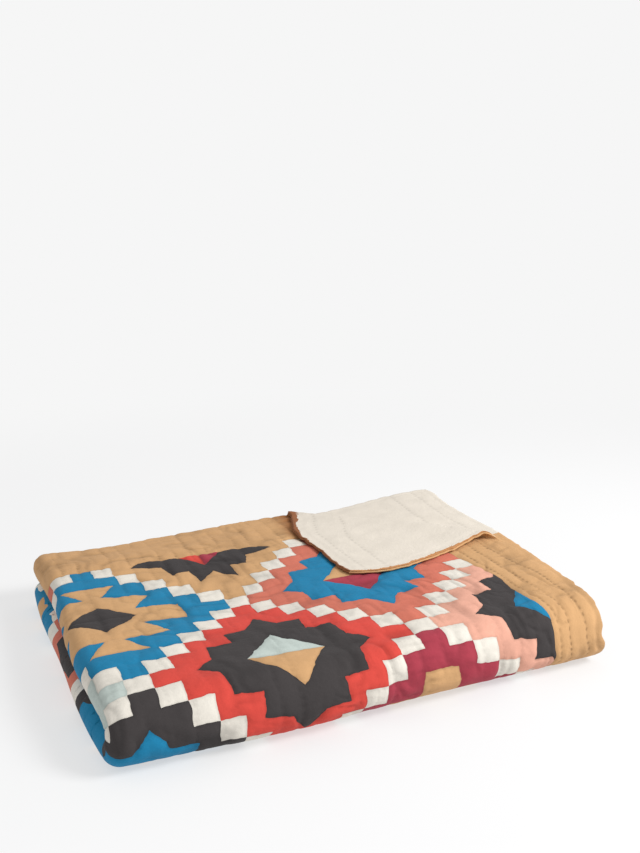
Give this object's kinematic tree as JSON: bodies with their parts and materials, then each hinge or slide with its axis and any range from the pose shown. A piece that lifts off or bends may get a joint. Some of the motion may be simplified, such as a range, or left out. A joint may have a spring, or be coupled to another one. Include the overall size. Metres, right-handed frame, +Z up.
{
  "type": "folded quilted bedspread",
  "caption": "Patchwork quilted bedspread folded into a flat rectangular bundle, with one corner turned back to show its plain backing.",
  "frame": {"origin": "middle of the bundle's box, on the surface that it rests on", "axes": "+X from the folded left side to the right hems, +Y from the front fold to the back hems, +Z up"},
  "size_m": [0.6594, 0.5084, 0.0939],
  "materials": {
    "patchwork_cotton": "matte washed cotton patchwork",
    "backing_cotton": "matte washed plain cotton"
  },
  "bodies": {
    "root": {"patchwork_front": "patchwork_cotton", "backing": "backing_cotton"}
  },
  "joints": []
}
